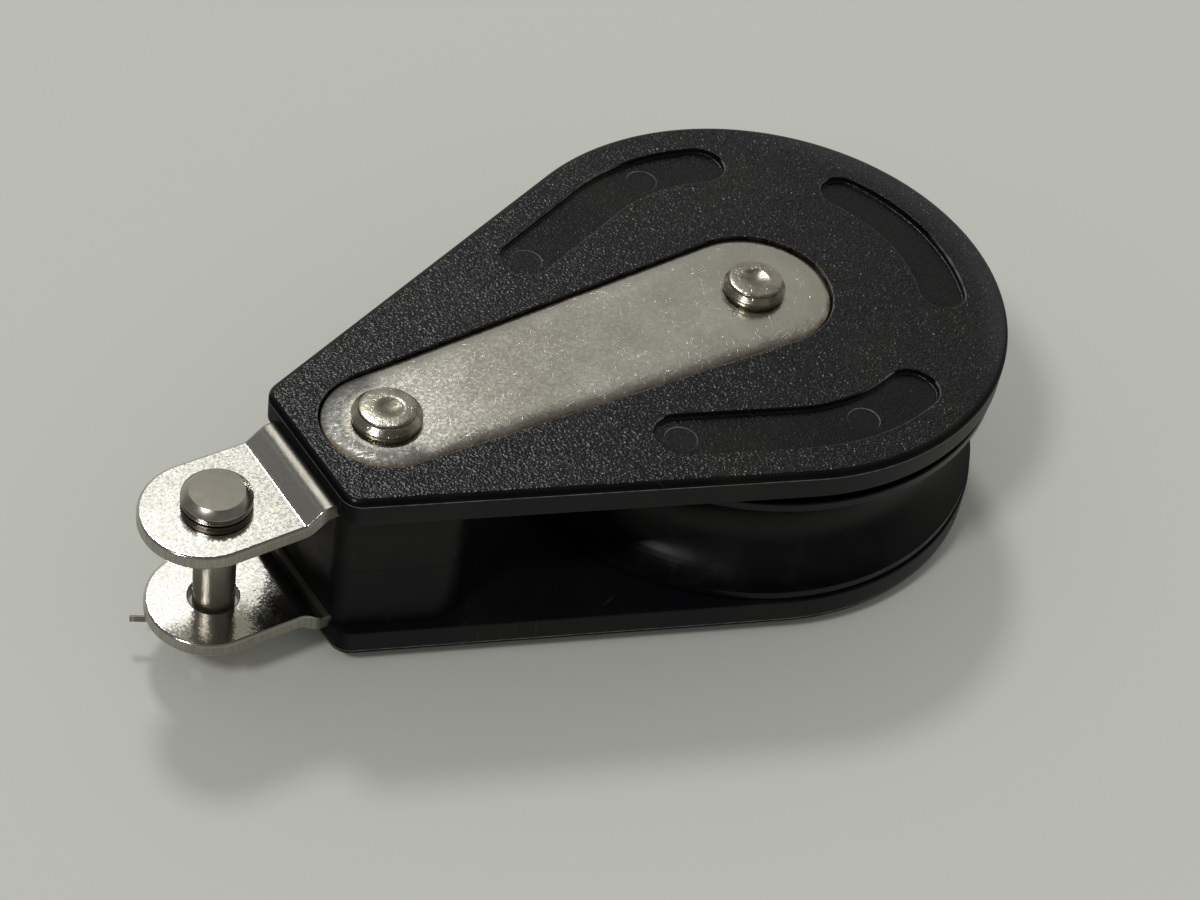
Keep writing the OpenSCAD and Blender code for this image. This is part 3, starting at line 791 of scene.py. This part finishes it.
def makeArm(name, node):
    half, r, tipX = arm["halfWidth"], arm["cornerR"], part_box(node)[0].x
    wide, low, high = half + arm["spare"], arm["under"], arm["over"]
    piece = slab(name, upright(armProfile(tipX), wide), 2 * wide, Vector((0, -1, 0)))
    plan = bothSides(arcPoints((arm["endX"] - r, half - r), r, 0, 90, 6)
                     + arcPoints((tipX + half, 0), half, 90, 180, 32)[:-1])
    cut(piece, slab("planTool", flat(plan, low), high - low), "INTERSECT")
    drill(piece, arm["pinHoleR"], low, high, pinX, 64)
    drill(piece, cheek["rivetHoleR"], low, high, -strap["pitch"], 64)

    def byPin(spot):
        return (spot.xy - Vector((pinX, 0))).length < arm["pinHoleR"] + 0.9 * mm

    roundEdges(piece, arm["edge"], 4, lambda spot: not byPin(spot), 50, False)
    roundEdges(piece, arm["holeEdge"], 3, byPin, 50)
    return piece


upperArm = makeArm("upperArm", "upper_fork_arm")
lowerArm = flipped(makeArm("lowerArm", "lower_fork_arm"))
for piece, node in ((upperArm, "upper_fork_arm"), (lowerArm, "lower_fork_arm")):
    smooth(piece)
    finishPiece(piece, node, stripSteel)
print("fork arms made")


# Head block
headLow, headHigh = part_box("head_block")
head = {
    "frontX": headLow.x,
    "innerX": headHigh.x,
    "inset": 1.5 * mm,  # of its sides from the cheeks' sides
    "frontR": 2.5 * mm,
    "innerR": 4.5 * mm,
    "edge": 0.35 * mm,
    "tubeR": 4.05 * mm,
    "reach": 12 * mm,  # clears its faces
}


def makeHead():
    low, high = headLow.z, headHigh.z
    frontX, innerX = head["frontX"] + head["frontR"], head["innerX"] - head["innerR"]
    front = (frontX, sideY(frontX, head["inset"] + head["frontR"]))
    inner = (innerX, sideY(innerX, head["inset"] + head["innerR"]))
    outline = bothSides(arcPoints(inner, head["innerR"], 0, sideAngle, 14)
                        + arcPoints(front, head["frontR"], sideAngle, 180, 8))
    piece = slab("headBlock", flat(outline, low), high - low)
    # Both faces are let in for the fork's roots
    recess, reach = arm["rootZ"] - arm["thickness"], 3 * mm
    cut(piece, slab("rootTool", flat(rootOutline(), recess), reach))
    cut(piece, slab("rootTool", flat(rootOutline(), -recess - reach), reach))
    drill(piece, head["tubeR"], -head["reach"], head["reach"], -strap["pitch"], 64)
    roundEdges(piece, head["edge"], 3, sharpness=50)
    return piece


headBlock = makeHead()
smooth(headBlock)
finishPiece(headBlock, "head_block", nylon)
print("head block made")


# Sheave
sheaveLow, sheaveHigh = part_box("sheave")
wheel = {
    "rimR": sheaveHigh.x,
    "lowZ": sheaveLow.z,
    "highZ": sheaveHigh.z,
    "rimEdge": 0.25 * mm,
    "rimT": 1.2 * mm,
    "grooveDepth": 6.2 * mm,
    "boreR": 6.5 * mm,
    "reliefIn": 11 * mm,
    "reliefOut": 24 * mm,
    "reliefDepth": 1 * mm,
    "reliefEdge": 0.3 * mm,
}


def makeSheave():
    middle = (wheel["lowZ"] + wheel["highZ"]) / 2
    half = (wheel["highZ"] - wheel["lowZ"]) / 2
    reach = half - wheel["rimT"]
    bowl = (reach ** 2 + wheel["grooveDepth"] ** 2) / (2 * wheel["grooveDepth"])
    centreR = wheel["rimR"] - wheel["grooveDepth"] + bowl
    opening = math.degrees(math.asin(reach / bowl))
    groove = arcPoints((centreR, middle), bowl, 180 - opening, 180 + opening, 28)
    inner, outer, edge, rim = wheel["reliefIn"], wheel["reliefOut"], wheel["reliefEdge"], wheel["rimEdge"]
    bottom = half - wheel["reliefDepth"]
    upper = [(wheel["boreR"], half), (inner - edge, half), (inner, half - edge), (inner, bottom),
             (outer, bottom), (outer, half - edge), (outer + edge, half)]
    upper += arcPoints((wheel["rimR"] - rim, half - rim), rim, 90, 0, 4)
    above = [(r, middle + z) for r, z in upper]
    below = [(r, middle - z) for r, z in reversed(upper)]
    return turned("ropeSheave", above + groove + below, steps=160, closed=True)


ropeSheave = makeSheave()
smooth(ropeSheave, 30)
finishPiece(ropeSheave, "sheave", acetal, "sheave")
print("sheave made")


# Rivets, each with two formed heads
rivet = {
    "shankR": 3 * mm,
    "headH": 2.05 * mm,
    "flangeT": 0.6 * mm,
    "undercutH": 0.4 * mm,
    "undercutIn": 0.35 * mm,
    "discR": 3.5 * mm,
    "discT": 0.45 * mm,
    "domeRise": 0.1 * mm,
    "dimpleR": 1.75 * mm,
    "dimpleDepth": 0.3 * mm,
    "soft": 0.12 * mm,
    "step": 0.06 * mm,  # the disc's foot stands this far out
    "axleFlangeR": 4.05 * mm,
    "headFlangeR": 4.35 * mm,
    "strikeR": 1.1 * mm,
    "axleStrike": (0.1 * mm, 0.2 * mm, 0),
    "headStrike": (0.4 * mm, -0.15 * mm, 0),
}


def headProfile(flangeR):
    # From the axis outwards and down to the seat, heights from the seat
    top, rim, r = rivet["headH"], rivet["headH"] - rivet["domeRise"], rivet["discR"]
    soft, step, foot = rivet["soft"], rivet["step"], rivet["headH"] - rivet["domeRise"] - rivet["discT"]
    low, high = rivet["undercutH"], rivet["undercutH"] + rivet["flangeT"]
    struck, deep = rivet["dimpleR"], rivet["dimpleDepth"]
    dimple = [(struck * t, top - deep * (1 - t * t)) for t in (0, 0.25, 0.5, 0.75, 0.92)]
    lip = [(struck * 1.06, top - 0.01 * mm), (struck * 1.25, top - 0.02 * mm)]
    dome = [(r * t, top - rivet["domeRise"] * t ** 3) for t in (0.75, 0.88)]
    disc = arcPoints((r - soft, rim - soft), soft, 75, 0, 4) + [(r, foot + step), (r + step, foot)]
    edge = (arcPoints((flangeR - soft, high - soft), soft, 60, 0, 4)
            + arcPoints((flangeR - soft, low + soft), soft, 0, -90, 4))
    inner = flangeR - rivet["undercutIn"]
    return dimple + lip + dome + disc + edge + [(inner, low), (inner, 0), (rivet["shankR"], 0)]


def makeRivet(name, node, flangeR, x, strike):
    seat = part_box(node)[1].z - rivet["headH"]
    upper = [(r, seat + z) for r, z in headProfile(flangeR)]
    piece = turned(name, upper + [(r, -z) for r, z in reversed(upper)], (x, 0), 96)
    # The setting tool struck a little off centre
    pickVertices(piece, lambda spot: (spot.xy - Vector((x, 0))).length < rivet["strikeR"] and spot.z > seat)
    bpy.ops.transform.translate(value=strike, use_proportional_edit=True, proportional_edit_falloff="SMOOTH",
                                proportional_size=2 * rivet["strikeR"])
    smooth(piece, 50)
    finishPiece(piece, node, rivetSteel)
    return piece


axleRivet = makeRivet("axleRivet", "axle_rivet", rivet["axleFlangeR"], 0, rivet["axleStrike"])
headRivet = makeRivet("headRivet", "head_rivet", rivet["headFlangeR"], -strap["pitch"], rivet["headStrike"])
print("rivets made")


# Clevis pin
pinLow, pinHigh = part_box("clevis_pin")
pin = {
    "shankR": 2.6 * mm,
    "headR": 4.3 * mm,
    "headH": 2.5 * mm,
    "topR": 3.35 * mm,
    "bevelH": 0.76 * mm,
    "soft": 0.05 * mm,
    "lines": (  # height over the seat, width, depth; the lowest is a real undercut
        (0.5 * mm, 0.34 * mm, 0.32 * mm),
        (1.08 * mm, 0.14 * mm, 0.12 * mm),
        (1.38 * mm, 0.14 * mm, 0.12 * mm),
    ),
    "endChamfer": 0.8 * mm,
    "crossZ": 3 * mm,  # above the pin's end
    "crossR": 0.6 * mm,
    "crossAngle": 160,
}


def makePin():
    top, seat, end = pinHigh.z, pinHigh.z - pin["headH"], pinLow.z
    r, soft, bevel = pin["headR"], pin["soft"], top - pin["bevelH"]
    points = [(0, top), (pin["topR"], top), (r - 0.6 * soft, bevel + 0.5 * soft), (r, bevel - soft)]
    # Lines turned into its side
    for height, width, depth in reversed(pin["lines"]):
        high, low = seat + height + width, seat + height
        points += [(r, high), (r - depth, high - 0.04 * mm), (r - depth, low + 0.04 * mm), (r, low)]
    points += [(r, seat + soft), (r - soft, seat), (pin["shankR"], seat)]
    c = pin["endChamfer"]
    points += [(pin["shankR"], end + c), (pin["shankR"] - c, end), (0, end)]
    piece = turned("clevisPin", points, (pinX, 0), 96)
    hole, reach = pin["crossR"], 2 * pin["shankR"]
    tool = turned("crossTool", [(0, -reach), (hole, -reach), (hole, reach), (0, reach)], steps=32)
    tool.rotation_euler = (0, math.radians(90), math.radians(pin["crossAngle"]))
    tool.location = (pinX, 0, end + pin["crossZ"])
    cut(piece, tool)
    smooth(piece, 30)
    finishPiece(piece, "clevis_pin", pinSteel, "clevis")
    return piece


clevisPin = makePin()
print("clevis pin made")


# Split pin: half-round wire folded over an eye, its two flats together
cotter = {
    "wireR": 0.5 * mm,
    "gap": 0.02 * mm,  # of each flat from the middle
    "eyeR": 0.7 * mm,
    "neckR": 0.8 * mm,
    "eyeX": -4.2 * mm,
    "bendX": 3.0 * mm,
    "bendR": 1.2 * mm,
    "splay": 8,  # degrees
    "longLeg": 10.1 * mm,
    "shortLeg": 7.4 * mm,
    "edge": 0.08 * mm,
}


def makeCotter():
    r, lean, bendX, bendR = cotter["wireR"], math.radians(cotter["splay"]), cotter["bendX"], cotter["bendR"]
    eyeX, neckR, apart = cotter["eyeX"], cotter["neckR"], cotter["eyeR"] + cotter["neckR"]
    neckX = eyeX + math.sqrt(apart ** 2 - neckR ** 2)
    turn = math.asin((neckX - eyeX) / apart)
    piece = drawLine("splitPin", [(bendX, y, z) for y, z in arcPoints((-cotter["gap"], 0), r, 90, 270, 12)])
    # From the bend of the long leg back through the pin, round the eye and out again; spin turns clockwise
    pull((neckX - bendX, 0, 0))
    bpy.ops.mesh.spin(steps=6, angle=-turn, center=(neckX, -neckR, 0), axis=up)
    bpy.ops.mesh.spin(steps=28, angle=math.pi + 2 * turn, center=(eyeX, 0, 0), axis=up)
    bpy.ops.mesh.spin(steps=6, angle=-turn, center=(neckX, neckR, 0), axis=up)
    pull((bendX - neckX, 0, 0))
    bpy.ops.mesh.spin(steps=3, angle=-lean, center=(bendX, bendR, 0), axis=up)
    straight = cotter["shortLeg"] - bendX - bendR * lean
    pull((straight * math.cos(lean), straight * math.sin(lean), 0))
    # The long leg goes on from the first section
    bpy.ops.mesh.select_mode(type="FACE")
    bpy.ops.mesh.select_all(action="DESELECT")
    bpy.ops.object.mode_set(mode="OBJECT")
    for face in piece.data.polygons:
        face.select = len(face.vertices) > 4 and face.center.x < bendX + touch and face.center.y < 0
    bpy.ops.object.mode_set(mode="EDIT")
    bpy.ops.mesh.spin(steps=3, angle=lean, center=(bendX, -bendR, 0), axis=up)
    straight = cotter["longLeg"] - bendX - bendR * lean
    pull((straight * math.cos(lean), -straight * math.sin(lean), 0))
    tidyNormals(piece)
    roundEdges(piece, cotter["edge"], 2, sharpness=50)
    piece.rotation_euler = (0, 0, math.radians(pin["crossAngle"]))
    piece.location = (pinX, 0, pinLow.z + pin["crossZ"])
    focus(piece)
    bpy.ops.object.transform_apply(location=True, rotation=True, scale=True)
    smooth(piece)
    finishPiece(piece, "split_pin", wireSteel, "clevis")
    return piece


splitPin = makeCotter()
print("split pin made")


# The inner pieces keep their CAD shapes
for node, material in (("axle_tube", rivetSteel), ("head_tube", rivetSteel), ("sheave_bush", bronze),
                       ("upper_thrust_washer", washerNylon), ("lower_thrust_washer", washerNylon)):
    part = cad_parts[node]
    part.data.materials.clear()
    part.data.materials.append(material)
print("inner pieces dressed")


# Floor, world and lamps
studio = {
    "floorColour": "#c9cac1",
    "floorSize": 6,
    "backColour": "#e6e6e0",
    "ambient": 0.4,
    # What the steel mirrors: directions, strengths and limits
    "wallAt": (0.64, 0.77, 0),
    "wallGlow": 0.52,
    "wallFull": 0.62,
    "sideGlow": 0.2,
    "ceilingGlow": 0.12,
    "ceilingFrom": 0.70,
    "ceilingFull": 0.81,
    "windowAt": (0.304, 0.596, 0.743),
    "windowGlow": 1.6,
    "windowR": (3.5, 5.5),  # degrees, whole and faded
    "lampDistance": 6,
    "lamps": (
        ("backLamp", (0.158, 0.540, 0.827), 1.0, 92),
        ("leftLamp", (-0.594, -0.164, 0.786), 1.0, 104),
    ),
}
bpy.ops.object.select_all(action="DESELECT")
bpy.ops.mesh.primitive_plane_add(size=studio["floorSize"], location=(0, 0, cadBox[0].z))
table = bpy.context.object
table.name = "tableTop"
tableMaterial, add, shader = newMaterial("tableLaminate", {
    "Base Color": linear(studio["floorColour"]), "Roughness": 0.6, "Specular IOR Level": 0.1})
table.data.materials.append(tableMaterial)

world = bpy.data.worlds.new("studio")
bpy.context.scene.world = world
world.use_nodes = True
world.node_tree.nodes.clear()
add = partial(addNode, world.node_tree)
path = add("LightPath").outputs
seen = add("Math", {0: path["Is Glossy Ray"], 1: path["Is Transmission Ray"]}, **larger)
seen = add("Math", {0: path["Is Camera Ray"], 1: seen}, **larger)
ambient = add("Background", {0: (1, 1, 1, 1), 1: studio["ambient"]})
# A pale wall behind the block, darker to the sides and above
direction = add("TexCoord").outputs["Generated"]
behind = add("VectorMath", {0: direction, 1: studio["wallAt"]}, operation="DOT_PRODUCT").outputs["Value"]
glow = add("MapRange", {0: behind, 2: studio["wallFull"], 3: studio["sideGlow"],
                        4: studio["wallGlow"]}, **eased)
height = add("SeparateXYZ", {0: direction}).outputs[2]
glow = add("MapRange", {0: height, 1: studio["ceilingFrom"], 2: studio["ceilingFull"], 3: glow,
                        4: studio["ceilingGlow"]}, **eased)
# A window stands where the flat ears mirror it
window = add("VectorMath", {0: direction, 1: studio["windowAt"]}, operation="DOT_PRODUCT").outputs["Value"]
whole, faded = (math.cos(math.radians(limit)) for limit in studio["windowR"])
glow = add("MapRange", {0: window, 1: faded, 2: whole, 3: glow, 4: studio["windowGlow"]}, **eased)
backdrop = add("Background", {0: linear(studio["backColour"]), 1: glow})
mixed = add("MixShader", {0: seen, 1: ambient, 2: backdrop})
add("OutputWorld", {0: mixed})

for name, toward, size, watts in studio["lamps"]:
    spot = Vector(toward).normalized() * studio["lampDistance"]
    bpy.ops.object.light_add(type="AREA", location=spot, rotation=spot.to_track_quat("Z", "Y").to_euler())
    lamp = bpy.context.object
    lamp.name = name
    lamp.data.shape = "DISK"
    lamp.data.size = size
    lamp.data.energy = watts
bpy.context.scene.view_settings.view_transform = "Standard"
print("studio set")
